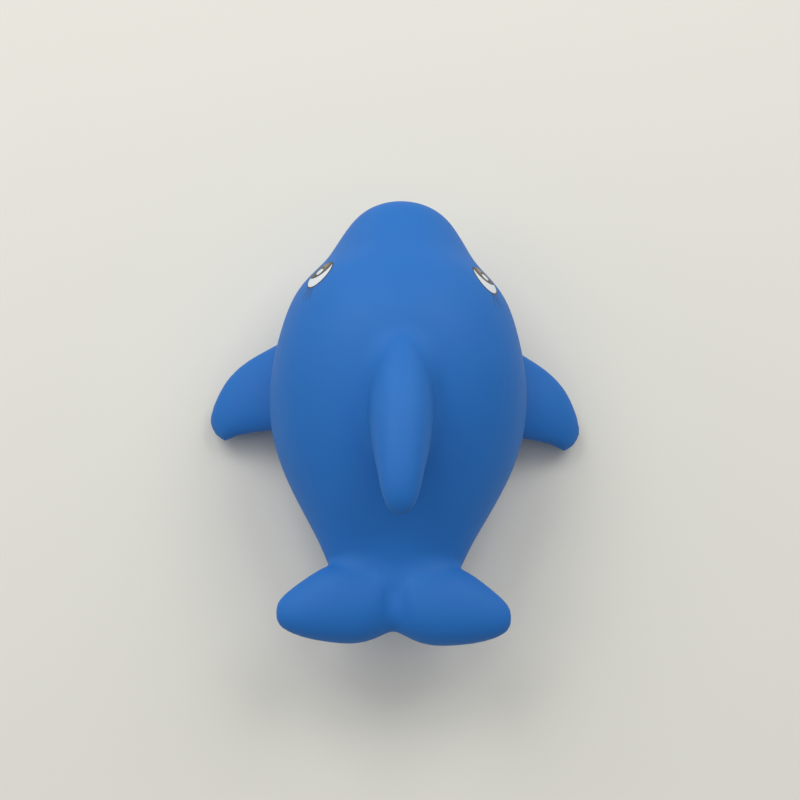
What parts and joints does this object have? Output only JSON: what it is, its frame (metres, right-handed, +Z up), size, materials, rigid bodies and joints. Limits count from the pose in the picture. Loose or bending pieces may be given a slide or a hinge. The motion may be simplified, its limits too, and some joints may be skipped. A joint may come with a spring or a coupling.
{
  "type": "squeaky bath toy",
  "caption": "Hollow soft vinyl dolphin squeeze toy with flippers, flukes, dorsal fin, printed eyes and a press-in squeaker in its flat belly.",
  "frame": {"origin": "middle of the toy's footprint, on the surface that its flat belly rests on", "axes": "+Y from the tail towards the nose, +X to the toy's right, +Z up"},
  "size_m": [0.116, 0.1352, 0.0671],
  "materials": {
    "blue_vinyl": "soft moulded vinyl, satin",
    "squeaker_plastic": "rigid moulding, satin",
    "reed_film": "thin film",
    "eye_white_ink": "printed ink",
    "eye_brown_ink": "printed ink",
    "eye_black_ink": "printed ink"
  },
  "bodies": {
    "toy": {"body_shell": "blue_vinyl", "squeaker_plug": "squeaker_plastic", "reed_block": "squeaker_plastic", "reed_wedge": "squeaker_plastic", "right_eye_white": "eye_white_ink", "right_eye_iris": "eye_brown_ink", "right_eye_black": "eye_black_ink", "left_eye_white": "eye_white_ink", "left_eye_iris": "eye_brown_ink", "left_eye_black": "eye_black_ink"},
    "sounding_reed": {"reed": "reed_film"}
  },
  "joints": [
    {"name": "reed_flex", "type": "hinge", "parent": "toy", "child": "sounding_reed", "pos_m": [0, 0.00871, 0.0049], "axis": [1, 0, 0], "range_deg": [-2, 2.5], "stiffness_Nm_per_rad": 0.0036}
  ]
}
